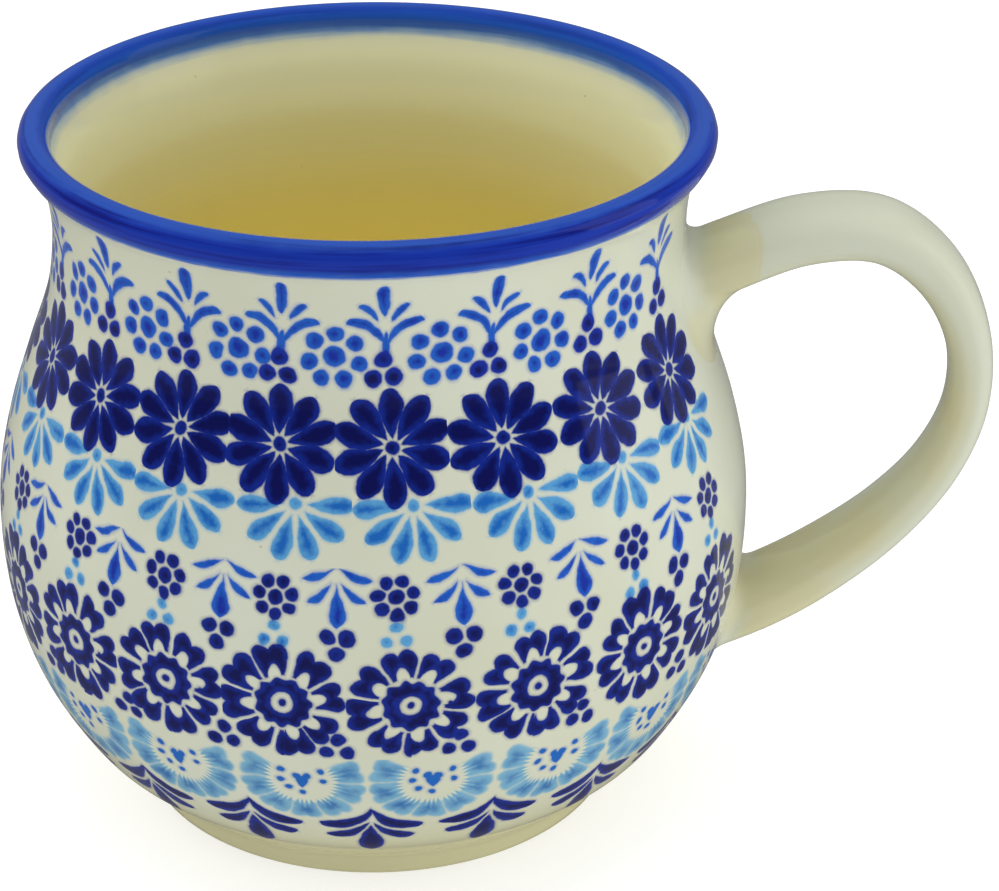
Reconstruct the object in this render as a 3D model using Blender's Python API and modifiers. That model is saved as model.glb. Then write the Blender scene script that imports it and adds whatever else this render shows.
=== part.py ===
"""A belly mug in stoneware: a turned vessel with a rolled lip and a foot ring, a pulled strap handle,
and the two slip collars that lute the handle to the wall.

Metres, +Z up. +X points towards the handle. The origin is the middle of the footprint of the whole
mug, on the surface that it stands on, so the vessel's own axis stands at AXIS_X.
"""

import math

import bmesh
import bpy
import numpy as np

# The vessel, measured from its own axis.
LIP_CENTRE = (0.04533, 0.09905)  # radius and height of the middle of the lip's roll
LIP_ROLL = 0.00217               # radius of the roll, half of the wall's thickness at the lip
LIP_OUTER_END = -30.0            # degrees: where the outer wall takes over from the roll
LIP_INNER_END = 210.0            # degrees: where the inner wall takes over from the roll
LIP_POINTS = 9
BELLY_RADIUS = 0.0535

# Outer wall, (radius, height) from the lip's flare down to the top of the foot.
OUTER_WALL = (
    (0.0466, 0.0970), (0.0452, 0.0955), (0.0443, 0.0932), (0.0437, 0.0892), (0.0437, 0.0846),
    (0.0449, 0.0768), (0.0483, 0.0672), (0.0513, 0.0581), (0.0532, 0.0490), (BELLY_RADIUS, 0.0399),
    (0.0525, 0.0308), (0.0498, 0.0217), (0.0449, 0.0126), (0.0408, 0.0082), (0.0371, 0.0052),
    (0.0357, 0.0037),
)

# Inner wall, (radius, height) from the middle of the floor up to the lip.
INNER_WALL = (
    (0.0180, 0.0072), (0.0300, 0.0088), (0.0386, 0.0134), (0.0449, 0.0222), (0.0480, 0.0312),
    (0.0490, 0.0400), (0.0487, 0.0490), (0.0469, 0.0578), (0.0440, 0.0665), (0.0408, 0.0760),
    (0.0395, 0.0846), (0.0398, 0.0892), (0.0409, 0.0935), (0.0422, 0.0962),
)
FLOOR_TOP = 0.0070

# Foot ring: a flat land between two small rounded edges, and a recess under the floor.
FOOT_OUTER_RADIUS = 0.0349
FOOT_INNER_RADIUS = 0.0298
FOOT_EDGE = 0.0007
FOOT_EDGE_POINTS = 4
RECESS_HEIGHT = 0.0022
RECESS_SLOPE = 0.0012            # how much further in the recess's ceiling starts than its wall

# Handle: the middle line of the strap, (distance from the vessel's axis, height), top to bottom.
HANDLE_LINE = (
    (0.0407, 0.0770), (0.0490, 0.0812), (0.0598, 0.0855), (0.0703, 0.0858), (0.0784, 0.0800),
    (0.0831, 0.0706), (0.0836, 0.0602), (0.0801, 0.0505), (0.0736, 0.0419), (0.0652, 0.0345),
    (0.0562, 0.0286), (0.0440, 0.0228),
)
STRAP_HALF_WIDTH = 0.0071
STRAP_HALF_THICKNESS = 0.0040
STRAP_SQUARENESS = 2.6           # exponent of the section: 2 is an ellipse, more is boxier
# How much thicker or thinner the strap is at each point of its line: full at the roots, slim at the turn.
STRAP_FULLNESS = (1.06, 1.04, 1.00, 0.96, 0.89, 0.80, 0.78, 0.82, 0.90, 0.99, 1.05, 1.08)

# Slip collars: how far they stand off the wall, and how much they flare where the strap's line ends.
COLLAR_HEIGHT = 0.0030
COLLAR_FLARE = 0.9
TOUCHING_GAP = 0.0003

HANDLE_REACH = 0.0871            # from the vessel's axis to the back of the strap
AXIS_X = (BELLY_RADIUS - HANDLE_REACH) / 2

TURNS = 48                       # steps around the vessel, and around the solids that trim what meets it
SPAN_POINTS = 2                  # points on each span of a turned wall
STRAP_SPAN_POINTS = 6
SECTION_POINTS = 24
JOIN_DISTANCE = 0.00002          # points closer than this on the vessel's axis are one
WELD_DISTANCE = 0.00001          # points closer than this on a strap's end are one
SHARP_ANGLE = 40.0               # degrees: edges that bend more than this stay crisp

GLAZE = (0.79, 0.77, 0.68, 1.0)
GLAZE_ROUGHNESS = 0.16


def smooth_line(points, per_span):
    """A curve through the points: Catmull-Rom, each span a cubic with its neighbours' slopes."""
    path = np.array(points, dtype=float)
    path = np.vstack([2 * path[0] - path[1], path, 2 * path[-1] - path[-2]])
    t = (np.arange(per_span) / per_span)[:, None]
    spans = []
    for before, start, end, after in zip(path, path[1:], path[2:], path[3:]):
        spans.append(0.5 * (2 * start + (end - before) * t
                            + (2 * before - 5 * start + 4 * end - after) * t ** 2
                            + (3 * start - before - 3 * end + after) * t ** 3))
    spans.append(path[-2][None])
    return np.vstack(spans)


def arc(centre, radius, first, last, count):
    """Points on a circle arc, from angle first to angle last in degrees."""
    angles = np.radians(np.linspace(first, last, count))
    return np.column_stack([centre[0] + radius * np.cos(angles), centre[1] + radius * np.sin(angles)])


def vessel_profile():
    """The wall's outline from the middle of the floor, up inside, over the lip and down outside."""
    edge = FOOT_EDGE
    return np.vstack([
        [(0.0, FLOOR_TOP)],
        smooth_line(INNER_WALL, SPAN_POINTS),
        arc(LIP_CENTRE, LIP_ROLL, LIP_INNER_END, LIP_OUTER_END, LIP_POINTS),
        smooth_line(OUTER_WALL, SPAN_POINTS),
        arc((FOOT_OUTER_RADIUS - edge, edge), edge, 0.0, -90.0, FOOT_EDGE_POINTS),
        arc((FOOT_INNER_RADIUS + edge, edge), edge, -90.0, -180.0, FOOT_EDGE_POINTS),
        [(FOOT_INNER_RADIUS - RECESS_SLOPE, RECESS_HEIGHT), (0.0, RECESS_HEIGHT)],
    ])


def swollen_profile(offset):
    """The outer wall pushed outwards by offset along its normals, closed on the axis."""
    wall = smooth_line(OUTER_WALL, SPAN_POINTS)
    slope = np.gradient(wall, axis=0)
    slope /= np.linalg.norm(slope, axis=1)[:, None]
    normals = np.column_stack([-slope[:, 1], slope[:, 0]])
    wall = wall + offset * normals
    return np.vstack([[(0.0, wall[0, 1])], wall, [(0.0, wall[-1, 1])]])


def new_collection(name):
    collection = bpy.data.collections.new(name)
    bpy.context.scene.collection.children.link(collection)
    return collection


def finish(name, colour, roughness):
    material = bpy.data.materials.new(name)
    material.use_nodes = True
    shader = material.node_tree.nodes["Principled BSDF"]
    shader.inputs["Base Color"].default_value = colour
    shader.inputs["Roughness"].default_value = roughness
    shader.inputs["Metallic"].default_value = 0.0
    return material


def turned(name, profile, steps, collection):
    """A profile in the XZ plane turned about the vessel's axis with a Screw modifier."""
    mesh = bpy.data.meshes.new(name)
    points = [(radius, 0.0, height) for radius, height in profile]
    edges = [(i, i + 1) for i in range(len(points) - 1)]
    mesh.from_pydata(points, edges, [])
    piece = bpy.data.objects.new(name, mesh)
    piece.location.x = AXIS_X
    collection.objects.link(piece)
    screw = piece.modifiers.new("turn", 'SCREW')
    screw.axis = 'Z'
    screw.angle = math.tau
    screw.steps = steps
    screw.render_steps = steps
    screw.use_merge_vertices = True
    screw.merge_threshold = JOIN_DISTANCE
    screw.use_smooth_shade = True
    return piece


def section_curve():
    """The strap's section, |x/a|^n + |y/b|^n = 1, as a closed flat curve that the strap is drawn with."""
    curve = bpy.data.curves.new("strap_section", 'CURVE')
    curve.dimensions = '2D'
    spline = curve.splines.new('POLY')
    spline.points.add(SECTION_POINTS - 1)
    power = 2.0 / STRAP_SQUARENESS
    for point, turn in zip(spline.points, np.arange(SECTION_POINTS) / SECTION_POINTS * math.tau):
        across, along = math.cos(turn), math.sin(turn)
        x = STRAP_HALF_WIDTH * math.copysign(abs(across) ** power, across)
        y = STRAP_HALF_THICKNESS * math.copysign(abs(along) ** power, along)
        point.co = (x, y, 0.0, 1.0)
    spline.use_cyclic_u = True
    guide = bpy.data.objects.new("strap_section", curve)
    bpy.context.scene.collection.objects.link(guide)
    return guide


def strap(name, line, collection):
    """A closed mesh swept along line, whose rows are (distance, height, fullness)."""
    guide = section_curve()
    curve = bpy.data.curves.new(name, 'CURVE')
    curve.dimensions = '3D'
    curve.twist_mode = 'MINIMUM'
    curve.bevel_mode = 'OBJECT'
    curve.bevel_object = guide
    curve.use_fill_caps = True
    spline = curve.splines.new('POLY')
    spline.points.add(len(line) - 1)
    for point, (distance, height, fullness) in zip(spline.points, line):
        point.co = (distance, 0.0, height, 1.0)
        point.radius = fullness
    rail = bpy.data.objects.new(name + "_rail", curve)
    rail.location.x = AXIS_X
    collection.objects.link(rail)
    bpy.context.view_layer.update()
    evaluated = rail.evaluated_get(bpy.context.evaluated_depsgraph_get())
    mesh = bpy.data.meshes.new_from_object(evaluated)
    mesh.name = name
    piece = bpy.data.objects.new(name, mesh)
    piece.matrix_world = rail.matrix_world
    collection.objects.link(piece)
    for guide_object in (rail, guide):
        bpy.data.objects.remove(guide_object)
    shell = bmesh.new()
    shell.from_mesh(mesh)
    bmesh.ops.remove_doubles(shell, verts=shell.verts, dist=WELD_DISTANCE)
    bmesh.ops.recalc_face_normals(shell, faces=shell.faces)
    shell.to_mesh(mesh)
    shell.free()
    return piece


def shade_round(piece):
    piece.data.shade_smooth()
    piece.data.set_sharp_from_angle(angle=math.radians(SHARP_ANGLE))


def cut(piece, cutter, operation):
    boolean = piece.modifiers.new(cutter.name, 'BOOLEAN')
    boolean.operation = operation
    boolean.solver = 'EXACT'
    boolean.object = cutter


def wall_cutter(name, offset, collection):
    """A solid of the vessel's outer shape grown by offset, used to trim what meets the wall."""
    cutter = turned(name, swollen_profile(offset), TURNS, collection)
    cutter.hide_render = True
    cutter.display_type = 'WIRE'
    return cutter


def handle_rows():
    rows = np.column_stack([np.array(HANDLE_LINE), np.array(STRAP_FULLNESS)])
    return smooth_line(rows, STRAP_SPAN_POINTS)


def collar_rows(stretch, wall_end):
    """A root's stretch of the strap's line, flaring as the square of the way to its end in the wall."""
    way = np.linspace(1.0, 0.0, len(stretch))
    if wall_end == "last":
        way = way[::-1]
    fuller = stretch.copy()
    fuller[:, 2] *= 1.0 + COLLAR_FLARE * way ** 2
    return fuller


def build():
    for old in list(bpy.data.objects):
        bpy.data.objects.remove(old)
    parts = new_collection("stoneware_mug")
    cutters = new_collection("cutters")

    body = turned("body", vessel_profile(), TURNS, parts)
    body.data.materials.append(finish("painted_glaze", GLAZE, GLAZE_ROUGHNESS))

    rows = handle_rows()
    handle = strap("handle", rows, parts)
    handle.data.materials.append(finish("handle_glaze", GLAZE, GLAZE_ROUGHNESS))
    shade_round(handle)
    cut(handle, wall_cutter("handle_trim", COLLAR_HEIGHT + TOUCHING_GAP, cutters), 'DIFFERENCE')

    collar_inner = wall_cutter("collar_inner_trim", TOUCHING_GAP, cutters)
    collar_outer = wall_cutter("collar_outer_trim", COLLAR_HEIGHT, cutters)
    root_rows = 2 * STRAP_SPAN_POINTS
    roots = {
        "upper_collar": collar_rows(rows[:root_rows + 1], "first"),
        "lower_collar": collar_rows(rows[-root_rows - 1:], "last"),
    }
    for name, flared_rows in roots.items():
        collar = strap(name, flared_rows, parts)
        collar.data.materials.append(finish(name + "_slip", GLAZE, GLAZE_ROUGHNESS))
        shade_round(collar)
        cut(collar, collar_outer, 'INTERSECT')
        cut(collar, collar_inner, 'DIFFERENCE')


build()
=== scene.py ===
"""Looks for a belly mug in stoneware: cream glaze over rows of flowers, leaves and dots brushed and stamped
in cobalt blues, a cobalt lip, and a plain strap handle.

The vessel is three rings of one turned wall, with a painted glaze each, and the handle is a strap between
two roots of slip. Sizes are metres, and millimetres where a name says so. Places on the painted wall are
millimetres along the wall, down from the top of the lip, and degrees about the vessel's axis.
"""

import math

import bpy
import numpy as np
from mathutils import Matrix, Vector


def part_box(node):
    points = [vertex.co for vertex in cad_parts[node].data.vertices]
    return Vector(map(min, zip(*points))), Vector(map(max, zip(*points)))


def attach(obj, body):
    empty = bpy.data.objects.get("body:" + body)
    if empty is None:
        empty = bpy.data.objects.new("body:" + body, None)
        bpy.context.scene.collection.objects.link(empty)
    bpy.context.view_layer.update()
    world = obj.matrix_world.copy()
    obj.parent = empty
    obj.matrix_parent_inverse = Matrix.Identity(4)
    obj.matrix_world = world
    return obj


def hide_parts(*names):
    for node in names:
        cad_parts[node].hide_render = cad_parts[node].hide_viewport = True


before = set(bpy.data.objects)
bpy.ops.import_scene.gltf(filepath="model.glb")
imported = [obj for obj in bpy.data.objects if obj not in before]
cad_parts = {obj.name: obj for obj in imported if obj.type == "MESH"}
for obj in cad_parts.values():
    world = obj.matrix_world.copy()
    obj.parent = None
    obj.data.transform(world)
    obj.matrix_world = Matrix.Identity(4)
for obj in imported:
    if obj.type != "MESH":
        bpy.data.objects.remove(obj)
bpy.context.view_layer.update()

body_low, body_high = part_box("body")
AXIS_X = (body_low[0] + body_high[0]) / 2
WALL_REACH = (body_high[1] - body_low[1]) / 2

# The vessel's wall, (radius, height) measured from its own axis.
LIP_CENTRE = (0.04533, 0.09905)
LIP_ROLL = 0.00217
OUTER_WALL = (
    (0.0466, 0.0970), (0.0452, 0.0955), (0.0443, 0.0932), (0.0437, 0.0892), (0.0437, 0.0846),
    (0.0449, 0.0768), (0.0483, 0.0672), (0.0513, 0.0581), (0.0532, 0.0490), (0.0535, 0.0399),
    (0.0525, 0.0308), (0.0498, 0.0217), (0.0449, 0.0126), (0.0409, 0.0083), (0.0378, 0.0057),
    (0.0361, 0.0041), (0.0353, 0.0028), (0.0350, 0.0016),
)
INNER_WALL = (
    (0.0, 0.0070), (0.0180, 0.0072), (0.0300, 0.0088), (0.0386, 0.0134), (0.0449, 0.0222),
    (0.0480, 0.0312), (0.0490, 0.0400), (0.0487, 0.0490), (0.0469, 0.0578), (0.0440, 0.0665),
    (0.0408, 0.0760), (0.0395, 0.0846), (0.0398, 0.0892), (0.0409, 0.0935), (0.0422, 0.0962),
)
FOOT_OUTER = 0.0349
FOOT_INNER = 0.0298
FOOT_EDGE = 0.0007
RECESS_HEIGHT = 0.0022
RECESS_START = 0.0286
NECK_RING_END = 0.0460           # metres along the outer wall where the neck ring gives way to the belly
BELLY_RING_END = 0.0743
ROW_STEP = 0.0008
TURN_STEPS = 288
SPAN_STEPS = 14                  # rows worked out between two points of the wall's lines
LIP_STEPS = 20
FOOT_STEPS = 7
ON_AXIS = 1e-6
PAINT_SPAN = 0.4                 # metres of wall that the UV map's height covers, the lip's top in its middle

# The strap: (distance from the vessel's axis, height, fullness) along its middle line.
STRAP_LINE = (
    (0.0407, 0.0770, 1.06), (0.0490, 0.0812, 1.04), (0.0598, 0.0855, 1.00), (0.0703, 0.0858, 0.96),
    (0.0784, 0.0800, 0.89), (0.0831, 0.0706, 0.80), (0.0836, 0.0602, 0.78), (0.0801, 0.0505, 0.82),
    (0.0736, 0.0419, 0.90), (0.0652, 0.0345, 0.99), (0.0562, 0.0286, 1.05), (0.0440, 0.0228, 1.08),
)
STRAP_HALF_WIDTH = 0.0071
STRAP_HALF_THICKNESS = 0.0040
STRAP_SQUARENESS = 2.6
STRAP_STEPS = 200
SECTION_STEPS = 64
TRIAL_STEPS = 600                # tries along the strap for where it meets the wall
UPPER_FILLET, UPPER_FILLET_LEAN, UPPER_FILLET_UNDER = 0.0030, 0.0008, 0.0056
LOWER_FILLET, LOWER_FILLET_LEAN = 0.0021, 0.0009
ROOT_REACH = 0.0055              # how far from the wall a root of slip gives way to the strap
ROOT_SINK = 0.0006               # how far a root's end is sunk into the wall
WALL_WRAP = 0.012                # nearer to the wall than this, the strap's points keep to its curve

PITCH = 18.35                    # degrees between the flowers of a row
ROW_COUNT = 18


def smooth_line(points, at):
    """A curve through the points: Catmull-Rom, each span a cubic whose slope at a point is half the step
    between its neighbours. `at` counts spans from the first point, and may be an array of any shape."""
    path = np.array(points, dtype=float)
    path = np.vstack([2 * path[0] - path[1], path, 2 * path[-1] - path[-2]])
    span = np.clip(np.floor(at).astype(int), 0, len(points) - 2)
    t = (at - span)[..., None]
    before, start, end, after = (path[span + i] for i in range(4))
    return 0.5 * (2 * start + (end - before) * t + (2 * before - 5 * start + 4 * end - after) * t ** 2
                  + (3 * start - before - 3 * end + after) * t ** 3)


def whole_line(points, per_span):
    return smooth_line(points, np.linspace(0, len(points) - 1, (len(points) - 1) * per_span + 1))


def arc(centre, radius, first, last, count):
    """Points on a circle: centre plus radius times cosine and sine of angles from first to last, degrees."""
    angles = np.radians(np.linspace(first, last, count))
    return np.column_stack([centre[0] + radius * np.cos(angles), centre[1] + radius * np.sin(angles)])


def length_along(line):
    steps = np.linalg.norm(np.diff(line, axis=0), axis=1)
    return np.concatenate([[0.0], np.cumsum(steps)])


def stretch_of(line, first, last):
    """The part of a line between two lengths along it, in even steps of about ROW_STEP."""
    along = length_along(line)
    at = np.linspace(first, last, max(2, round((last - first) / ROW_STEP) + 1))
    return np.column_stack([np.interp(at, along, line[:, 0]), np.interp(at, along, line[:, 1])]), at


def vessel_lines():
    """The outside from the lip's top to the middle of the recess, and the inside from the lip's top to the
    middle of the floor. Both are curves through the wall's points joined to circle arcs."""
    outside = np.vstack([
        arc(LIP_CENTRE, LIP_ROLL, 90, -24, LIP_STEPS),
        whole_line(OUTER_WALL, SPAN_STEPS),
        arc((FOOT_OUTER - FOOT_EDGE, FOOT_EDGE), FOOT_EDGE, 0, -90, FOOT_STEPS),
        arc((FOOT_INNER + FOOT_EDGE, FOOT_EDGE), FOOT_EDGE, -90, -180, FOOT_STEPS),
        [(RECESS_START, RECESS_HEIGHT), (0.0, RECESS_HEIGHT)],
    ])
    inside = np.vstack([arc(LIP_CENTRE, LIP_ROLL, 90, 202, LIP_STEPS),
                        whole_line(INNER_WALL, SPAN_STEPS)[::-1]])
    outside[:, 0] = np.minimum(outside[:, 0], WALL_REACH)
    return outside, inside


def line_normals(line):
    """The normals of a line that has the clay on its right: its slope by differences, turned a quarter."""
    slope = np.gradient(line, axis=0)
    slope /= np.linalg.norm(slope, axis=1)[:, None]
    return np.column_stack([-slope[:, 1], slope[:, 0]])


def put_mesh(name, vertices, faces, uv, normals, material):
    """A piece of the mug as an object at the origin, with its UV map and shading normals per face corner."""
    mesh = bpy.data.meshes.new(name)
    mesh.from_pydata(vertices.tolist(), [], faces)
    layer = mesh.uv_layers.new(name="wall")
    layer.data.foreach_set("uv", uv.ravel())
    mesh.shade_smooth()
    mesh.normals_split_custom_set(normals.tolist())
    mesh.materials.append(material)
    piece = bpy.data.objects.new(name, mesh)
    bpy.context.scene.collection.objects.link(piece)
    return piece


def turned_ring(name, runs, material):
    """One or two runs of the wall, each a line of (radius, height) with its lengths along the wall, turned
    about the vessel's axis: x and y are the radius times cosine and sine of the turn. Flat joint faces close
    the ring from the end of each run to the start of the next, and a row on the axis is a single point."""
    line = np.vstack([run[0] for run in runs])
    along = np.concatenate([run[1] for run in runs])
    slopes = np.vstack([line_normals(run[0]) for run in runs])
    joints = set((np.cumsum([len(run[0]) for run in runs]) - 1).tolist())
    rows, steps = len(line), TURN_STEPS
    on_axis = line[:, 0] < ON_AXIS
    sizes = np.where(on_axis, 1, steps)
    starts = np.concatenate([[0], np.cumsum(sizes)[:-1]])
    column = np.arange(steps)
    angle = np.concatenate([column[:size] * (math.tau / steps) for size in sizes])
    radius = np.repeat(line[:, 0], sizes)
    vertices = np.column_stack([AXIS_X + radius * np.cos(angle), radius * np.sin(angle),
                                np.repeat(line[:, 1], sizes)])
    faces, uv, normals = [], [], []
    for row in range(rows):
        below = (row + 1) % rows
        if on_axis[row] and on_axis[below]:
            continue
        corners = [(row, 0), (below, 0), (below, 1), (row, 1)]
        if on_axis[row]:
            corners.pop()
        if on_axis[below]:
            corners.remove((below, 0))
        places, spots, facings = [], [], []
        for at, side in corners:
            around = (column + (0.5 if on_axis[at] else side)) / steps
            places.append(starts[at] + (0 * column if on_axis[at] else (column + side) % steps))
            spots.append(np.column_stack([around, np.full(steps, 0.5 + along[at] / PAINT_SPAN)]))
            out, up = slopes[at]
            if row in joints:
                out, up = 0.0, math.copysign(1.0, line[below, 0] - line[row, 0])
            turn = around * math.tau
            facings.append(np.column_stack([out * np.cos(turn), out * np.sin(turn), np.full(steps, up)]))
        faces.extend(np.stack(places, axis=1).tolist())
        uv.append(np.stack(spots, axis=1).reshape(-1, 2))
        normals.append(np.stack(facings, axis=1).reshape(-1, 3))
    return put_mesh(name, vertices, faces, np.vstack(uv), np.vstack(normals), material)


def vessel_rings(materials):
    """The neck with its lip, the belly and the base, cut from the wall at two levels."""
    outside, inside = vessel_lines()
    out_along, in_along = length_along(outside), length_along(inside)
    cuts_out = (NECK_RING_END, BELLY_RING_END)
    levels = [np.interp(cut, out_along, outside[:, 1]) for cut in cuts_out]
    lip_clear = int(np.argmin(inside[:, 1] > LIP_CENTRE[1] - LIP_ROLL))
    cuts_in = [np.interp(-level, -inside[lip_clear:, 1], in_along[lip_clear:]) for level in levels]

    def outer(first, last):
        return stretch_of(outside, first, last)

    def inner(first, last):
        line, at = stretch_of(inside, first, last)
        return line[::-1], -at[::-1]

    over_line, over_at = outer(0.0, cuts_out[0])
    up_line, up_at = inner(0.0, cuts_in[0])
    neck = [(np.vstack([up_line[:-1], over_line]), np.concatenate([up_at[:-1], over_at]))]
    belly = [outer(*cuts_out), inner(*cuts_in)]
    base = [outer(cuts_out[1], out_along[-1]), inner(cuts_in[1], in_along[-1])]
    for name, runs in (("neck_and_lip", neck), ("belly", belly), ("base", base)):
        ring = turned_ring(name, runs, materials[name])
        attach(ring, "root")
        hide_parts("body")


def wall_radius(height):
    outside = whole_line(OUTER_WALL, SPAN_STEPS)[::-1]
    return np.interp(height, outside[:, 1], outside[:, 0])


def strap_shell(at, turn):
    """Points of the bare strap: its middle line, plus a section |across/a|^n + |lift/b|^n = 1 square to it.
    Returns the points measured from the vessel's axis, and the unit direction out of the section."""
    middle = smooth_line(STRAP_LINE, at)
    slope = smooth_line(STRAP_LINE, at + 0.01)[..., :2] - smooth_line(STRAP_LINE, at - 0.01)[..., :2]
    slope /= np.linalg.norm(slope, axis=-1, keepdims=True)
    power = 2.0 / STRAP_SQUARENESS
    across = STRAP_HALF_WIDTH * middle[..., 2] * np.sign(np.cos(turn)) * np.abs(np.cos(turn)) ** power
    lift = STRAP_HALF_THICKNESS * middle[..., 2] * np.sign(np.sin(turn)) * np.abs(np.sin(turn)) ** power
    away = np.stack([-slope[..., 1] * lift, across, slope[..., 0] * lift], axis=-1)
    centre = np.stack([middle[..., 0], np.zeros_like(across), middle[..., 1]], axis=-1)
    return centre + away, away / np.linalg.norm(away, axis=-1, keepdims=True)


def clear_of_wall(points):
    return np.hypot(points[..., 0], points[..., 1]) - wall_radius(points[..., 2])


def strap_grid():
    """The strap from wall to wall. Each line along it starts and ends where it meets the wall, and swells
    there by F - sqrt(F^2 - (F - d)^2), a quarter circle of radius F at clearance d, as wiped slip does.
    F is largest under the upper root."""
    turn = np.arange(SECTION_STEPS) * (math.tau / SECTION_STEPS)
    spans = len(STRAP_LINE) - 1
    trial = np.linspace(0.02, spans - 0.02, TRIAL_STEPS)
    clear = clear_of_wall(strap_shell(trial[:, None] + 0 * turn, turn + 0 * trial[:, None])[0])
    column = np.arange(SECTION_STEPS)
    ends = []
    first_clear = np.argmax(clear > 0, axis=0)
    last_clear = TRIAL_STEPS - 1 - np.argmax(clear[::-1] > 0, axis=0)
    for step, row in ((-1, first_clear), (1, last_clear)):
        inside, outside = clear[row + step, column], clear[row, column]
        ends.append(trial[row] + (trial[row + step] - trial[row]) * outside / (outside - inside))
    way = np.linspace(0.0, 1.0, STRAP_STEPS + 1)[:, None]
    way = 0.3 * way + 0.7 * (1 - np.cos(math.pi * way)) / 2
    points, away = strap_shell(ends[0] + (ends[1] - ends[0]) * way, turn + 0 * way)
    gap = clear_of_wall(points)
    under = np.clip(-np.sin(turn), 0.0, 1.0)
    upper_fillet = UPPER_FILLET - UPPER_FILLET_LEAN * np.sin(turn) + UPPER_FILLET_UNDER * under ** 2
    lower_fillet = LOWER_FILLET - LOWER_FILLET_LEAN * np.sin(turn)
    fillet = np.where(way < 0.5, upper_fillet, lower_fillet)
    short = np.clip(fillet - gap, 0.0, None)
    swell = fillet - np.sqrt(np.clip(fillet ** 2 - short ** 2, 0.0, None))
    points = points + away * swell[..., None]
    reach = wall_radius(points[..., 2]) + gap
    facing = np.arctan2(points[..., 1], points[..., 0])
    near = gap < WALL_WRAP
    points[..., 0] = np.where(near, reach * np.cos(facing), points[..., 0])
    points[..., 1] = np.where(near, reach * np.sin(facing), points[..., 1])
    points[..., 0] = np.minimum(points[..., 0] + AXIS_X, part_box("handle")[1][0])
    return points, gap


def grid_normals(points):
    """Normals of a tube's grid: the cross product of its slopes along and around."""
    around = np.roll(points, -1, axis=1) - np.roll(points, 1, axis=1)
    along = np.gradient(points, axis=0)
    normals = np.cross(along, around)
    return normals / np.linalg.norm(normals, axis=-1, keepdims=True)


def tube_piece(name, points, normals, lengths, material):
    """A stretch of the strap's grid as a closed piece, with a fan of triangles over each end."""
    rows, steps = points.shape[:2]
    column = np.arange(steps)
    after = (column + 1) % steps
    ends = np.stack([points[0].mean(axis=0), points[-1].mean(axis=0)])
    vertices = np.vstack([points.reshape(-1, 3), ends])
    row = np.arange(rows - 1)[:, None] * steps
    walls = np.stack([row + column, row + steps + column, row + steps + after, row + after], axis=-1)
    first_cap = np.stack([column, after, np.full(steps, rows * steps)], axis=-1)
    last_cap = np.stack([(rows - 1) * steps + after, (rows - 1) * steps + column,
                         np.full(steps, rows * steps + 1)], axis=-1)
    faces = walls.reshape(-1, 4).tolist() + first_cap.tolist() + last_cap.tolist()
    side = column / steps
    far = side + 1.0 / steps
    near_v, next_v = lengths[:-1, None] + 0 * side, lengths[1:, None] + 0 * side
    wall_uv = np.stack([np.stack([side + 0 * near_v, near_v], -1), np.stack([side + 0 * near_v, next_v], -1),
                        np.stack([far + 0 * near_v, next_v], -1), np.stack([far + 0 * near_v, near_v], -1)],
                       axis=2).reshape(-1, 2)
    cap_uv = [np.tile([0.5, lengths[end]], (3 * steps, 1)) for end in (0, -1)]
    corner_normals = normals.reshape(-1, 3)[walls.reshape(-1)]
    cap_ways = [ends[0] - points[1].mean(axis=0), ends[1] - points[-2].mean(axis=0)]
    cap_normals = [np.tile(way / np.linalg.norm(way), (3 * steps, 1)) for way in cap_ways]
    return put_mesh(name, vertices, faces, np.vstack([wall_uv] + cap_uv),
                    np.vstack([corner_normals] + cap_normals), material)


def strap_pieces():
    """The strap, and the slip roots that hold it to the wall, cut from one grid so that they meet exactly."""
    points, gap = strap_grid()
    normals = grid_normals(points)
    lengths = length_along(points.mean(axis=1)) / PAINT_SPAN
    material = strap_material(float(lengths[-1]) * PAINT_SPAN * 1000.0)
    sunk = points[[0, -1]].copy()
    sunk[..., 0] -= ROOT_SINK
    points = np.concatenate([sunk[:1], points, sunk[1:]])
    normals = np.concatenate([normals[:1], normals, normals[-1:]])
    lengths = np.concatenate([lengths[:1], lengths, lengths[-1:]])
    mean_gap = gap.mean(axis=1)
    upper = int(np.argmax(mean_gap > ROOT_REACH)) + 1
    lower = len(mean_gap) - int(np.argmax(mean_gap[::-1] > ROOT_REACH))
    for name, node, slot_name, first, last in (
            ("strap", "handle", "handle_glaze", upper, lower),
            ("upper_root", "upper_collar", "slip_glaze", 0, upper),
            ("lower_root", "lower_collar", "slip_glaze", lower, len(points) - 1)):
        rows = slice(first, last + 1)
        piece = tube_piece(name, points[rows], normals[rows], lengths[rows], material)
        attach(piece, "root")
        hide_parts(node)


def colour(red, green, blue):
    """A colour given in the 0 to 255 steps of a paint chart, as the linear values that shaders take."""
    chart = np.array([red, green, blue]) / 255.0
    linear = np.where(chart <= 0.04045, chart / 12.92, ((chart + 0.055) / 1.055) ** 2.4)
    return (*linear.tolist(), 1.0)


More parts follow.
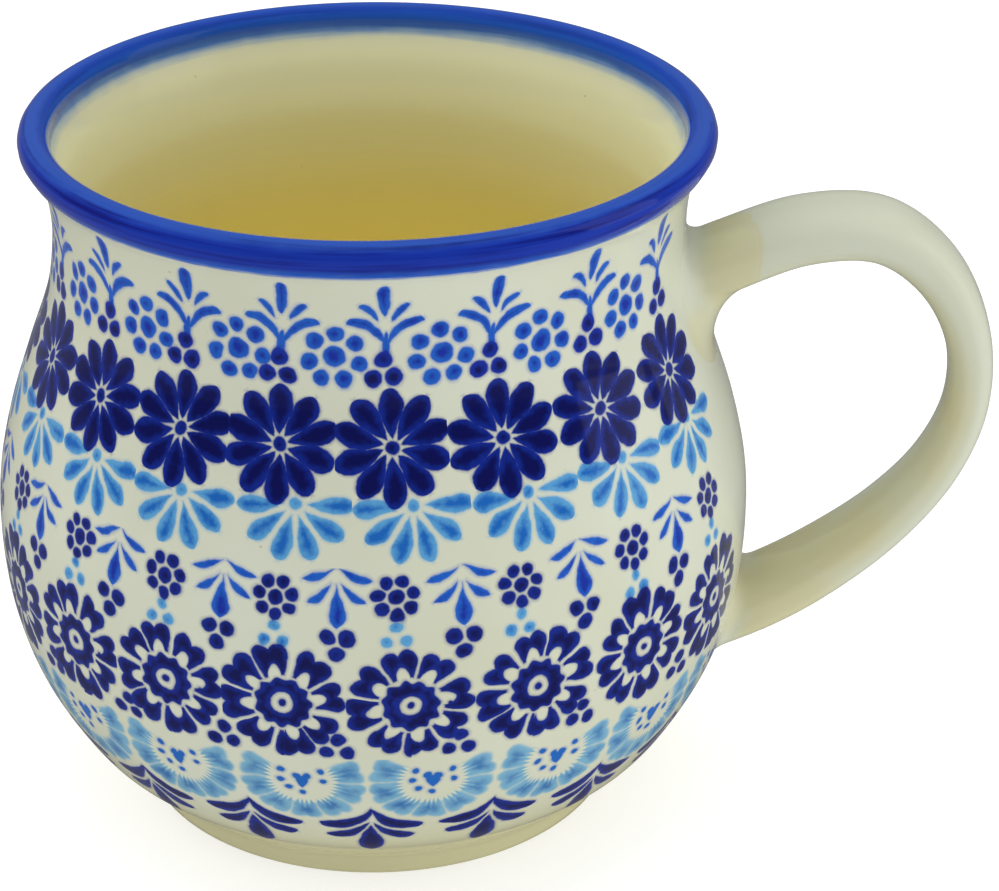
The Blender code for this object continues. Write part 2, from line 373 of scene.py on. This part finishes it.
class Field:
    """A number that varies over a surface: a node's output socket. Arithmetic on it adds Math nodes."""

    def __init__(self, socket):
        self.socket = socket
        self.tree = socket.id_data

    def math(self, operation, *others):
        node = self.tree.nodes.new("ShaderNodeMath")
        node.operation = operation
        for socket, value in zip(node.inputs, (self, *others)):
            feed(socket, value)
        return Field(node.outputs[0])

    def __add__(self, other):
        return self.math("ADD", other)

    def __sub__(self, other):
        return self.math("SUBTRACT", other)

    def __mul__(self, other):
        return self.math("MULTIPLY", other)

    def __truediv__(self, other):
        return self.math("DIVIDE", other)

    def __pow__(self, other):
        return self.math("POWER", other)

    def __neg__(self):
        return self.math("MULTIPLY", -1.0)

    def __abs__(self):
        return self.math("ABSOLUTE")

    def least(self, other):
        return self.math("MINIMUM", other)

    def most(self, other):
        return self.math("MAXIMUM", other)

    def between(self, low, high):
        return self.most(low).least(high)

    def sine(self):
        return self.math("SINE")

    def cosine(self):
        return self.math("COSINE")

    def rise(self, low, high):
        """A smooth step: 0 where the field is at low, 1 where it is at high, in a cubic ease between."""
        node = self.tree.nodes.new("ShaderNodeMapRange")
        node.interpolation_type = "SMOOTHSTEP"
        feed(node.inputs["Value"], self)
        for name, value in (("From Min", low), ("From Max", high), ("To Min", 0.0), ("To Max", 1.0)):
            node.inputs[name].default_value = value
        return Field(node.outputs["Result"])


def feed(socket, value):
    """Puts a Field, a socket or a plain value on an input."""
    if isinstance(value, Field):
        value = value.socket
    if isinstance(value, bpy.types.NodeSocket):
        socket.id_data.links.new(value, socket)
    else:
        socket.default_value = value


def vector_math(tree, operation, first, second):
    node = tree.nodes.new("ShaderNodeVectorMath")
    node.operation = operation
    feed(node.inputs[0], first)
    feed(node.inputs[1], second)
    return node


def union(*shapes):
    """The nearest of several shapes: the least of their distances."""
    whole = shapes[0]
    for shape in shapes[1:]:
        whole = whole.least(shape)
    return whole


class Spot:
    """Where the surface lies in a motif: mm to the right of its middle, and mm down from the lip's top."""

    def __init__(self, right, down, which=None):
        self.right, self.down, self.which = right, down, which
        self.tree = right.tree
        join = self.tree.nodes.new("ShaderNodeCombineXYZ")
        feed(join.inputs[0], right)
        feed(join.inputs[1], down)
        self.vector = join.outputs[0]

    def mirrored(self):
        return Spot(abs(self.right), self.down)

    def away(self, right, down):
        """Distance from a point of the motif."""
        return Field(vector_math(self.tree, "DISTANCE", self.vector, (right, down, 0.0)).outputs["Value"])

    def on(self, way, start):
        """How far along a direction from a point: the dot product with it, less the point's own."""
        reach = Field(vector_math(self.tree, "DOT_PRODUCT", self.vector, (*way, 0.0)).outputs["Value"])
        return reach - (way[0] * start[0] + way[1] * start[1])

    def dot(self, right, down, radius):
        return self.away(right, down) - radius

    def leaf(self, start, end, half_width, fullest=0.5, bluntness=0.7, bend=0.0):
        """A brush stroke from start to end. Its half-width at the share t of its length is half_width times
        sin(pi t^k)^bluntness, with k set so that it is widest at `fullest`, and its middle line is a
        parabola that leaves the straight line by `bend` to the left of the stroke."""
        length = math.dist(start, end)
        way = ((end[0] - start[0]) / length, (end[1] - start[1]) / length)
        along = self.on(way, start)
        aside = self.on((way[1], -way[0]), start)
        share = (along / length).between(0.0, 1.0)
        if bend:
            aside = aside - (share - share * share) * 4 * bend
        return stroke(along, abs(aside), share, 0.0, length, half_width, fullest, bluntness)

    def petals(self, middle, count, first, inner, outer, half_width, fullest=0.6, bluntness=0.6):
        """`count` petals about a middle: the angle is folded to one petal, which is then one stroke out."""
        right, down = self.right - middle[0], self.down - middle[1]
        turn = right.math("ARCTAN2", -down) - math.radians(first)
        return petal(self.away(*middle), fold(turn, count), inner, outer, half_width, fullest, bluntness)

    def ring_of_dots(self, middle, count, first, orbit, radius):
        """Dots of one size evenly around a middle."""
        right, down = self.right - middle[0], self.down - middle[1]
        turn = fold(right.math("ARCTAN2", -down) - math.radians(first), count)
        out = self.away(*middle)
        return Spot(out * turn.cosine() - orbit, out * turn.sine()).away(0.0, 0.0) - radius


def fold(turn, count):
    """An angle measured from the nearest of `count` even directions."""
    step = math.tau / count
    return turn - (turn / step).math("ROUND") * step


def draws(tree, number, seed):
    """Three chance numbers between -0.5 and 0.5 that belong to a whole number."""
    chance = tree.nodes.new("ShaderNodeTexWhiteNoise")
    chance.noise_dimensions = "1D"
    feed(chance.inputs["W"], number * 1.37 + seed)
    apart = tree.nodes.new("ShaderNodeSeparateColor")
    feed(apart.inputs[0], chance.outputs["Color"])
    return [Field(apart.outputs[i]) - 0.5 for i in range(3)]


def stroke(along, aside, share, inner, outer, half_width, fullest, bluntness):
    """Distance to a stroke from `inner` to `outer`, whose half-width follows a sine hump over its share."""
    hump = ((share ** (math.log(0.5) / math.log(fullest))) * math.pi).sine().most(0.0) ** bluntness
    return (aside - hump * half_width).most(-along + inner).most(along - outer)


def petal(out, turn, inner, outer, half_width, fullest=0.6, bluntness=0.6):
    """A petal seen at distance `out` from a flower's middle and at `turn` from the petal's own line."""
    along = out * turn.cosine()
    aside = abs(out * turn.sine())
    share = ((along - inner) / (outer - inner)).between(0.0, 1.0)
    return stroke(along, aside, share, inner, outer, half_width, fullest, bluntness)


def sprig(spot):
    """A drop over a fan of four leaves on a short stem."""
    half = spot.mirrored()
    return union(spot.leaf((0, 8.0), (0, 12.9), 0.85, 0.36, 0.55),
                 half.leaf((3.1, 11.2), (0.9, 13.6), 0.5, 0.35, 0.5, -0.3),
                 half.leaf((4.9, 13.5), (0.1, 17.0), 0.66, 0.3, 0.45, -0.95),
                 spot.leaf((0.0, 15.2), (-0.2, 18.6), 0.52, 0.6, 0.35))


def sprig_dots(spot):
    return union(spot.dot(-0.4, 18.9, 1.15), spot.dot(-1.85, 21.3, 1.2), spot.dot(0.8, 21.2, 1.2))


def dot_rosette(spot):
    return union(spot.dot(0, 18.9, 1.45), spot.ring_of_dots((0, 18.9), 7, 0, 3.25, 1.12))


def daisy(spot):
    """Ten petals about a dot with a pale ring."""
    return union(spot.petals((0, 30.7), 10, 0, 1.2, 7.8, 1.66, 0.64, 0.52), spot.dot(0, 30.7, 0.95))


def half_daisy(spot):
    """Six petals that hang from a dot, the outer two level."""
    down = spot.down - 38.2
    turn = abs(spot.right.math("ARCTAN2", down)) - math.radians(17)
    which = (turn / math.radians(35)).math("ROUND").between(0.0, 2.0)
    return union(petal(spot.away(0, 38.2), turn - which * math.radians(35), 1.6, 7.8, 1.25, 0.68, 0.55),
                 spot.dot(0, 38.2, 0.8))


def small_rosette(spot):
    return union(spot.dot(0, 50, 1.08), spot.ring_of_dots((0, 50), 7, 180, 2.3, 0.9))


def light_cluster(spot):
    return union(spot.dot(-0.2, 53.9, 0.75), spot.dot(-1.6, 56.0, 0.82), spot.dot(1.0, 55.9, 0.82))


def pendant(spot):
    """Two tiers of paired leaves over a drop."""
    half = spot.mirrored()
    return union(half.leaf((0.3, 46.3), (4.5, 47.9), 0.55, 0.62, 0.7, -0.3),
                 half.leaf((0.6, 48.3), (3.8, 50.8), 0.55, 0.62, 0.7, -0.3),
                 spot.leaf((0, 48.4), (0, 54.3), 1.2, 0.7, 0.75))


def dark_cluster(spot):
    return union(spot.dot(-1.5, 55.5, 1.12), spot.dot(1.1, 55.7, 1.12), spot.dot(-0.3, 57.8, 1.12))


def wheel_flower(spot):
    """A dotted eye in a scalloped ring, and eight broad two-lobed petals with a small arch at their foot."""
    right, down = spot.right, spot.down - 65.5
    out = spot.away(0, 65.5)
    turn = right.math("ARCTAN2", -down) + math.radians(12)
    eye = (-out + 1.5).most(out - (turn * 11).cosine() * 0.25 - 3.75)
    own = fold(turn, 8)
    petal_number = (turn / (math.tau / 8)).math("ROUND") + spot.which * 9.0
    longer, swing, wider = draws(spot.tree, petal_number, 2.0)
    folded = abs(own + swing * 0.09)
    along, aside = out * folded.cosine(), out * folded.sine()
    lobes = folded / math.radians(20) - 0.5
    rim = out - 8.6 + lobes * lobes * 3.2 + longer * 0.9
    sides = aside - along * math.tan(math.radians(22.5)) + 0.3 + wider * 0.3
    sheet = rim.math("SMOOTH_MAX", sides, 1.4).most(-out + 4.3)
    arch = -((aside * 1.9) ** 2 + (along - 4.2) ** 2) ** 0.5 + 1.75
    return union(eye, sheet.most(arch), spot.dot(0, 65.5, 0.55), spot.dot(5.1, 65.5, 0.35))


def low_cluster(spot):
    return union(spot.dot(0, 70.8, 1.02), spot.dot(-1.5, 72.9, 1.02), spot.dot(1.15, 73.0, 1.02))


def fringed_flower(spot):
    """A flower open at the top: seven broad petals with a fringe at their foot."""
    down = spot.down - 78.9
    out = spot.away(0, 78.9)
    turn = abs(spot.right.math("ARCTAN2", down))
    which = (turn / math.radians(35.5)).math("ROUND").between(0.0, 3.0)
    own = turn - which * math.radians(35.5)
    along, aside = out * own.cosine(), abs(out * own.sine())
    lobes = abs(own) / math.radians(17) - 0.5
    rim = out - 8.5 + lobes * lobes * 1.8
    fringe = (own * 44).cosine() * 0.4 - out + 4.7
    sides = aside - along * math.tan(math.radians(16.5)) - 0.05
    return rim.math("SMOOTH_MAX", sides, 1.2).most(fringe)


def fringed_heart(spot):
    """The heart and the six small dots in the middle of a fringed flower."""
    half = spot.mirrored()
    heart = union(half.dot(0.68, 78.0, 0.62), spot.leaf((0, 77.9), (0, 80.3), 0.95, 0.3, 0.7))
    return union(heart, half.dot(2.6, 77.0, 0.5), half.dot(2.85, 78.9, 0.5), spot.dot(-1.8, 80.5, 0.5),
                 spot.dot(-0.1, 81.4, 0.5))


def palmette(spot):
    """Two pairs of wings over a broad drop."""
    half = spot.mirrored()
    return union(half.leaf((-0.3, 84.1), (6.9, 89.1), 1.25, 0.72, 0.36, -1.6),
                 half.leaf((0.3, 88.2), (5.7, 92.1), 1.05, 0.72, 0.36, -1.0),
                 spot.leaf((0, 88.9), (0, 98.0), 1.7, 0.6, 0.8))


def new_group(name, inputs, outputs):
    """A shader node group with its sockets: (name, kind, starting value) in, (name, kind) out."""
    group = bpy.data.node_groups.new(name, "ShaderNodeTree")
    for label, kind, value in inputs:
        socket = group.interface.new_socket(label, in_out="INPUT", socket_type="NodeSocket" + kind)
        if value is not None:
            socket.default_value = value
    for label, kind in outputs:
        group.interface.new_socket(label, in_out="OUTPUT", socket_type="NodeSocket" + kind)
    return group, group.nodes.new("NodeGroupInput"), group.nodes.new("NodeGroupOutput")


def place_group(tree, group, **values):
    node = tree.nodes.new("ShaderNodeGroup")
    node.node_tree = group
    for label, value in values.items():
        feed(node.inputs[label.replace("_", " ")], value)
    return node


def noise(tree, vector, scale, detail=2.0, roughness=0.5):
    node = tree.nodes.new("ShaderNodeTexNoise")
    feed(node.inputs["Vector"], vector)
    feed(node.inputs["Scale"], scale)
    feed(node.inputs["Detail"], detail)
    feed(node.inputs["Roughness"], roughness)
    return node


def blend(tree, share, first, second):
    """A mix of two colours, from first at 0 to second at 1."""
    node = tree.nodes.new("ShaderNodeMix")
    node.data_type = "RGBA"
    feed(node.inputs["Factor"], share)
    feed(node.inputs["A"], first)
    feed(node.inputs["B"], second)
    return node.outputs["Result"]


def glaze_ground_group():
    """Clear glaze over pale clay: slow drifts of tone, a few iron specks, and the gentle dimples and
    throwing rings that the glaze softens."""
    group, given, result = new_group(
        "glaze_ground",
        [("Position", "Vector", None), ("Pale", "Color", (0.8, 0.8, 0.8, 1)),
         ("Warm", "Color", (0.7, 0.7, 0.6, 1))],
        [("Color", "Color"), ("Height", "Float"), ("Gloss Loss", "Float")])
    position = given.outputs["Position"]
    drift = Field(noise(group, position, 22.0, 3.0, 0.55).outputs["Fac"]).rise(0.32, 0.72)
    tone = blend(group, drift, given.outputs["Pale"], given.outputs["Warm"])
    cells = group.nodes.new("ShaderNodeTexVoronoi")
    feed(cells.inputs["Vector"], position)
    feed(cells.inputs["Scale"], 420.0)
    chance = group.nodes.new("ShaderNodeSeparateColor")
    feed(chance.inputs[0], cells.outputs["Color"])
    speck = Field(cells.outputs["Distance"]).rise(0.11, 0.04) * Field(chance.outputs[0]).rise(0.965, 0.99)
    feed(result.inputs["Color"], blend(group, speck * 0.45, tone, colour(122, 92, 52)))
    dimples = Field(noise(group, position, 160.0, 1.0).outputs["Fac"])
    apart = group.nodes.new("ShaderNodeSeparateXYZ")
    feed(apart.inputs[0], position)
    waver = Field(noise(group, position, 30.0, 1.0).outputs["Fac"])
    rings = (Field(apart.outputs[2]) * 1500.0 + waver * 5.0).sine()
    feed(result.inputs["Height"], dimples * 0.6 + rings * 0.07)
    feed(result.inputs["Gloss Loss"], Field(noise(group, position, 45.0, 2.0).outputs["Fac"]) * 0.07 + 0.05)
    return group


def brush_coat_group():
    """One coat of underglaze colour. It covers where the distance to its shape is below nothing, is darker
    where it pooled away from the edge, and leaves a faint stain just outside."""
    group, given, result = new_group(
        "brush_coat",
        [("Ground", "Color", (1, 1, 1, 1)), ("Distance", "Float", 1.0), ("Grain", "Float", 0.5),
         ("Blotch", "Float", 0.0), ("Softness", "Float", 0.15),
         ("Edge", "Color", (0, 0, 1, 1)), ("Core", "Color", (0, 0, 0.5, 1))],
        [("Color", "Color")])
    grain = Field(given.outputs["Grain"])
    distance = Field(given.outputs["Distance"]) + (grain - 0.5) * 0.32
    softness = given.outputs["Softness"]
    cover = (distance / softness).rise(1.0, -1.0)
    pooled = ((distance + (grain - 0.5) * 0.9 + given.outputs["Blotch"]) / softness).rise(0.0, -8.0)
    paint = blend(group, pooled, given.outputs["Edge"], given.outputs["Core"])
    stain = distance.rise(0.55, 0.0) * 0.32
    stained = blend(group, stain, given.outputs["Ground"], given.outputs["Edge"])
    feed(result.inputs["Color"], blend(group, cover, stained, paint))
    return group


GLAZE_GROUND = glaze_ground_group()
BRUSH_COAT = brush_coat_group()


class PaintedWall:
    """The material of one ring of the vessel: glazed clay, on which rows of motifs are painted one by one."""

    def __init__(self, name):
        self.material = bpy.data.materials.new(name)
        self.material.use_nodes = True
        self.tree = self.material.node_tree
        self.shader = self.tree.nodes["Principled BSDF"]
        coordinates = self.tree.nodes.new("ShaderNodeTexCoord")
        centred = self.tree.nodes.new("ShaderNodeMapping")
        feed(centred.inputs["Vector"], coordinates.outputs["Object"])
        centred.inputs["Location"].default_value = (-AXIS_X, 0.0, 0.0)
        self.position = centred.outputs["Vector"]
        flat = vector_math(self.tree, "MULTIPLY", self.position, (1000.0, 1000.0, 0.0)).outputs["Vector"]
        self.radius = Field(vector_math(self.tree, "DISTANCE", flat, (0.0, 0.0, 0.0)).outputs["Value"])
        wall = self.tree.nodes.new("ShaderNodeUVMap")
        wall.uv_map = "wall"
        apart = self.tree.nodes.new("ShaderNodeSeparateXYZ")
        feed(apart.inputs[0], wall.outputs["UV"])
        self.around = Field(apart.outputs[0]) * 360.0 - 360.0
        self.down = (Field(apart.outputs[1]) - 0.5) * (PAINT_SPAN * 1000.0)
        tremor = self.tree.nodes.new("ShaderNodeSeparateColor")
        feed(tremor.inputs[0], noise(self.tree, self.position, 300.0, 1.0).outputs["Color"])
        self.sway = (Field(tremor.outputs[0]) - 0.5) * 0.9
        self.dip = (Field(tremor.outputs[1]) - 0.5) * 0.9
        self.grain = Field(noise(self.tree, self.position, 1100.0, 3.0, 0.6).outputs["Fac"])
        self.blotch = (Field(tremor.outputs[2]) - 0.5) * 1.1
        ground = place_group(self.tree, GLAZE_GROUND, Position=self.position)
        self.ground = ground
        self.colour = ground.outputs["Color"]

    def tones(self, pale, warm):
        feed(self.ground.inputs["Pale"], pale)
        feed(self.ground.inputs["Warm"], warm)

    def row(self, first, middle, drift=0.0, pace=0.8, phase=0.0, count=ROW_COUNT, pitch=PITCH, seed=0.0,
            freedom=1.0):
        """A Spot beside the nearest motif of a row. The motifs stand `pitch` degrees apart from `first`, and
        their spacing gains and loses by drift * cos(pace * k + phase) as a hand's does. Each is a little
        off its place and leans a little, by chance."""
        before = ((-self.around + first) / pitch)
        wander = (before * pace + phase).cosine() * drift
        which = (before + wander / pitch).math("ROUND").between(0.0, count - 1.0)
        centre = -(which * pitch) + first + (which * pace + phase).cosine() * drift
        off_right, off_down, lean = draws(self.tree, which, seed)
        arc_right = (self.around - centre) * self.radius * math.radians(1)
        right = arc_right - off_right * (0.6 * freedom) + self.sway
        down = self.down - off_down * (0.7 * freedom) + self.dip
        lean = lean * (0.12 * freedom)
        return Spot(right - lean * (down - middle), down + lean * right, which)

    def coat(self, distance, edge, core, softness=0.15):
        """One coat of a row of motifs. The softer its edge, the more unevenly it pools."""
        node = place_group(self.tree, BRUSH_COAT, Ground=self.colour, Distance=distance, Grain=self.grain,
                           Blotch=self.blotch * (softness * 4.0 + 0.6), Softness=softness,
                           Edge=edge, Core=core)
        self.colour = node.outputs["Color"]

    def wash(self, share, tint):
        """An even tint laid over what is there."""
        self.colour = blend(self.tree, share, self.colour, tint)

    def finish(self):
        feed(self.shader.inputs["Base Color"], self.colour)
        feed(self.shader.inputs["Roughness"], self.ground.outputs["Gloss Loss"])
        bump = self.tree.nodes.new("ShaderNodeBump")
        bump.inputs["Strength"].default_value = 0.35
        bump.inputs["Distance"].default_value = 0.0001
        feed(bump.inputs["Height"], self.ground.outputs["Height"])
        feed(self.shader.inputs["Normal"], bump.outputs["Normal"])
        self.shader.inputs["IOR"].default_value = 1.5
        return self.material


CREAM_PALE, CREAM_WARM = colour(200, 204, 186), colour(195, 197, 174)
# The inside's tones, yellower than the outside's cream and most of all deep down: painted bounce light.
CAVITY_RIM, CAVITY_DEEP_BOUNCE = colour(212, 211, 170), colour(250, 236, 150)
NAVY_CORE, NAVY = colour(1, 6, 74), colour(8, 34, 128)
COBALT_CORE, COBALT = colour(10, 40, 146), colour(26, 88, 182)
SKY_CORE, SKY = colour(22, 92, 172), colour(84, 150, 196)
PALE_SKY, POOLED_SKY = colour(114, 163, 188), colour(36, 96, 158)


def inside_bounce_tint(wall):
    """The inside is painted warmer and deeper the further down it lies: painted bounce light, for the warm
    light thrown about inside the cup.
    """
    depth = (-wall.down).rise(4.0, 54.0)
    inside = blend(wall.tree, depth, CAVITY_RIM, CAVITY_DEEP_BOUNCE)
    share = (-wall.down).rise(1.5, 9.0)
    wall.tones(blend(wall.tree, share, CREAM_PALE, inside), blend(wall.tree, share, CREAM_WARM, inside))


def lip_band(wall):
    """A cobalt band over the lip, brushed while the mug turned: streaks run around it, and it thins away."""
    streaks = wall.tree.nodes.new("ShaderNodeCombineXYZ")
    feed(streaks.inputs[0], wall.around * 0.02)
    feed(streaks.inputs[1], wall.down * 0.9)
    streak = Field(noise(wall.tree, streaks.outputs[0], 1.6, 3.0).outputs["Fac"])
    level = wall.down + (streak - 0.5) * 1.6 + wall.dip * 0.6
    cover = level.rise(7.0, 5.8) * level.rise(-6.4, -4.0)
    band = blend(wall.tree, streak.rise(0.42, 0.7), colour(14, 46, 152), colour(6, 16, 108))
    # Painted highlight: a lighter blue along the top of the lip's roll.
    crest_highlight = level.rise(-1.8, -0.3) * level.rise(2.2, 0.6)
    band = blend(wall.tree, crest_highlight * 0.7, band, colour(48, 88, 176))
    band = blend(wall.tree, level.rise(4.2, 6.0), band, colour(30, 84, 176))
    band = blend(wall.tree, level.rise(-0.4, -2.8), band, colour(26, 78, 172))
    wall.wash(cover, blend(wall.tree, level.rise(-3.2, -5.4), band, colour(84, 134, 186)))


def neck_material():
    """Cobalt lip; sprigs, dots and rings of dots; dark daisies with light half daisies hanging under them."""
    wall = PaintedWall("painted_glaze_neck")
    inside_bounce_tint(wall)
    lip_band(wall)
    sprigs = wall.row(-25.53, 14.0, 1.47, 1.0, 0.87, seed=3.0)
    wall.coat(union(sprig(sprigs), dot_rosette(wall.row(-34.68, 18.9, 1.4, 0.9, 1.81, 17, seed=5.0))),
              COBALT, COBALT_CORE)
    wall.coat(sprig_dots(sprigs), COBALT_CORE, NAVY_CORE)
    wall.coat(half_daisy(wall.row(-23.27, 38.2, 1.34, 0.3, -2.62, seed=7.0)), SKY, SKY_CORE)
    wall.coat(daisy(wall.row(-25.37, 30.7, 0.97, 0.8, 1.22, seed=9.0, freedom=0.6)), NAVY, NAVY_CORE)
    return wall.finish()


def belly_material():
    """Small rosettes and leaf pendants in turn, clusters of dots, and the row of dark wheel flowers."""
    wall = PaintedWall("painted_glaze_belly")
    inside_bounce_tint(wall)
    rosettes = wall.row(-24.45, 50.0, 1.88, 0.8, 1.24, seed=11.0)
    pendants = wall.row(-33.95, 50.0, 1.43, 0.9, 1.63, 17, seed=13.0)
    wall.coat(pendant(pendants), COBALT, COBALT_CORE)
    wall.coat(light_cluster(rosettes), SKY, SKY_CORE)
    wall.coat(union(small_rosette(rosettes), dark_cluster(pendants)), NAVY, NAVY_CORE)
    wheels = wall.row(-23.84, 65.5, 0.66, 0.75, 1.19, seed=15.0, freedom=0.6)
    wall.coat(wheel_flower(wheels), NAVY, NAVY_CORE)
    between = wall.row(-33.0, 72.3, 2.5, 0.75, 1.66, 17, seed=17.0, freedom=0.5)
    wall.coat(low_cluster(between), NAVY, NAVY_CORE)
    return wall.finish()


def base_material():
    """Light fringed flowers and dark palmettes, a plain foot, and bare clay where the mug stands."""
    wall = PaintedWall("painted_glaze_base")
    inside_bounce_tint(wall)
    # A darker, warmer tint toward the foot.
    toward_foot = wall.down.rise(82.0, 104.0) * wall.down.rise(112.0, 110.6)
    wall.wash(toward_foot * 0.7, colour(190, 183, 134))
    flowers = wall.row(-17.4, 78.9, count=17, pitch=19.6, seed=19.0, freedom=0.5)
    wall.coat(fringed_flower(flowers), PALE_SKY, POOLED_SKY, 0.3)
    wall.coat(fringed_heart(flowers), SKY_CORE, SKY_CORE)
    palmettes = wall.row(-26.25, 90.0, count=16, pitch=19.75, seed=21.0, freedom=0.6)
    wall.coat(palmette(palmettes), NAVY, NAVY_CORE)
    bare = wall.down.rise(111.1, 111.6) * wall.down.rise(117.2, 116.6)
    wall.wash(bare, colour(205, 186, 152))
    return wall.finish()


def strap_material(length_mm):
    """The same glaze on the handle, without motifs, in a slightly darker copy of the cream away from the
    roots, as painted shade. It gathered, warmer, in a patch at each root. A warm wash on the side the fingers
    go round, and lower down along the near side, is painted shade."""
    wall = PaintedWall("strap_glaze")
    along = wall.down + PAINT_SPAN * 500.0
    left = -along + length_mm
    # Away from the roots the strap takes a slightly darker copy of the cream: painted shade for the weaker
    # light on the handle.
    clear = along.rise(0.0, 7.0) * left.rise(0.0, 7.0)
    wall.tones(blend(wall.tree, clear, CREAM_PALE, colour(195, 199, 181)),
               blend(wall.tree, clear, CREAM_WARM, colour(192, 194, 170)))
    turn = wall.around * math.radians(1)
    across, lift = turn.cosine(), turn.sine()
    patchy = Field(noise(wall.tree, wall.position, 60.0, 2.0).outputs["Fac"]).rise(0.3, 0.7)
    edge = along + (across + 1.0) * 3.0 + wall.sway * 1.4
    patch = along.rise(1.0, 5.0) * edge.rise(12.2, 10.8) * 0.5
    rim = edge.rise(12.4, 11.6) * edge.rise(10.8, 11.6) * 0.5
    low_root = left.rise(1.0, 5.0) * (left + patchy * 8.0).rise(34.0, 14.0) * 0.55
    # Painted shade: a warm wash on the side the fingers go round in the upper stretch, and on the near lower
    # corner in the lower stretch.
    high = left.rise(40.0, 75.0)
    finger_side_shade = (-lift).rise(0.0, 0.9) * high
    near_corner_shade = (-(across + lift)).rise(0.55, 1.35) * (-high + 1.0)
    sides = (finger_side_shade + near_corner_shade) * (patchy * 0.35 + 0.3)
    # The warm colour is gathered glaze in the root patches and painted shade on the sides.
    wall.wash(patch.most(rim).most(low_root).most(sides), colour(194, 184, 126))
    return wall.finish()


def dimmer_in_gloss(tree, lit, mirrored):
    """The strength that the tent lights with, and the lower one that the glaze mirrors."""
    path = tree.nodes.new("ShaderNodeLightPath")
    return Field(path.outputs["Is Glossy Ray"]) * (mirrored - lit) + lit


def tent_strength(tree, lit, mirrored, seen):
    """As dimmer_in_gloss, with a third strength for the tent behind the mug."""
    path = tree.nodes.new("ShaderNodeLightPath")
    return Field(path.outputs["Is Camera Ray"]) * (seen - lit) + dimmer_in_gloss(tree, lit, mirrored)


def stage_floor():
    mesh = bpy.data.meshes.new("floor")
    reach = 3.0
    mesh.from_pydata([(-reach, -reach, 0), (reach, -reach, 0), (reach, reach, 0), (-reach, reach, 0)], [],
                     [(0, 1, 2, 3)])
    material = bpy.data.materials.new("pale_floor")
    material.use_nodes = True
    shader = material.node_tree.nodes["Principled BSDF"]
    tree = material.node_tree
    shade = dimmer_in_gloss(tree, 0.56, 0.12)
    feed(shader.inputs["Base Color"], blend(tree, shade, (0.0, 0.0, 0.0, 1.0), (1.0, 1.0, 1.0, 1.0)))
    shader.inputs["Roughness"].default_value = 0.9
    shader.inputs["Specular IOR Level"].default_value = 0.1
    shader.inputs["Emission Color"].default_value = (1.0, 1.0, 1.0, 1.0)
    feed(shader.inputs["Emission Strength"], dimmer_in_gloss(tree, 0.61, 0.08))
    mesh.materials.append(material)
    floor = bpy.data.objects.new("floor", mesh)
    bpy.context.scene.collection.objects.link(floor)


def area_light(name, place, target, size, power, mirrored=True):
    data = bpy.data.lights.new(name, "AREA")
    data.shape = "RECTANGLE"
    data.size, data.size_y = size
    data.energy = power
    light = bpy.data.objects.new(name, data)
    light.location = place
    light.rotation_euler = (Vector(target) - Vector(place)).to_track_quat("-Z", "Y").to_euler()
    light.visible_glossy = mirrored
    bpy.context.scene.collection.objects.link(light)


def studio():
    """A white tent of light, and soft boxes above and on each side. The glaze mirrors only the sheens."""
    world = bpy.data.worlds.new("white_tent")
    world.use_nodes = True
    backdrop = world.node_tree.nodes["Background"]
    backdrop.inputs["Color"].default_value = (1.0, 1.0, 1.0, 1.0)
    feed(backdrop.inputs["Strength"], tent_strength(world.node_tree, 0.72, 0.11, 1.05))
    bpy.context.scene.world = world
    middle = (0.0, 0.0, 0.05)
    area_light("box_above", (0.0, 0.1, 0.9), middle, (0.9, 0.9), 3.4, False)
    area_light("box_left", (-0.6, 0.05, 0.4), middle, (0.55, 0.8), 0.9, False)
    area_light("box_right", (0.55, -0.2, 0.06), middle, (0.5, 0.1), 0.8, False)
    area_light("sheen_above", (0.0, 0.1, 0.9), middle, (0.9, 0.9), 1.8)
    area_light("sheen_left", (-0.6, 0.05, 0.4), middle, (0.4, 0.6), 0.25)
    area_light("sheen_right", (0.65, 0.0, 0.3), middle, (0.4, 0.6), 0.3)
    scene = bpy.context.scene
    scene.view_settings.view_transform = "Standard"


def camera():
    """The camera looks down at the mug from the front, with the handle to its right."""
    data = bpy.data.cameras.new("camera")
    data.sensor_width = 36.0
    data.lens = 108.1
    data.clip_start = 0.01
    eye = bpy.data.objects.new("camera", data)
    yaw, pitch, roll, turn = 0.0468, 0.4723, 0.0046, math.radians(6.0)
    heading = turn - yaw
    forward = Vector((-math.sin(heading) * math.cos(pitch), math.cos(heading) * math.cos(pitch),
                      -math.sin(pitch)))
    right = forward.cross(Vector((0, 0, 1))).normalized()
    up = right.cross(forward)
    tilted_right = math.cos(roll) * right + math.sin(roll) * up
    tilted_up = math.cos(roll) * up - math.sin(roll) * right
    distance = 0.3841
    eye.location = (AXIS_X + distance * math.sin(turn), -distance * math.cos(turn), 0.2462)
    axes = (tilted_right, tilted_up, -forward)
    eye.rotation_euler = matrix_of(axes).to_euler()
    bpy.context.scene.collection.objects.link(eye)
    bpy.context.scene.camera = eye


def matrix_of(axes):
    """The rotation whose columns are the three axes."""
    return Matrix([[axis[row] for axis in axes] for row in range(3)])


vessel_rings({"neck_and_lip": neck_material(), "belly": belly_material(), "base": base_material()})
strap_pieces()
stage_floor()
studio()
camera()
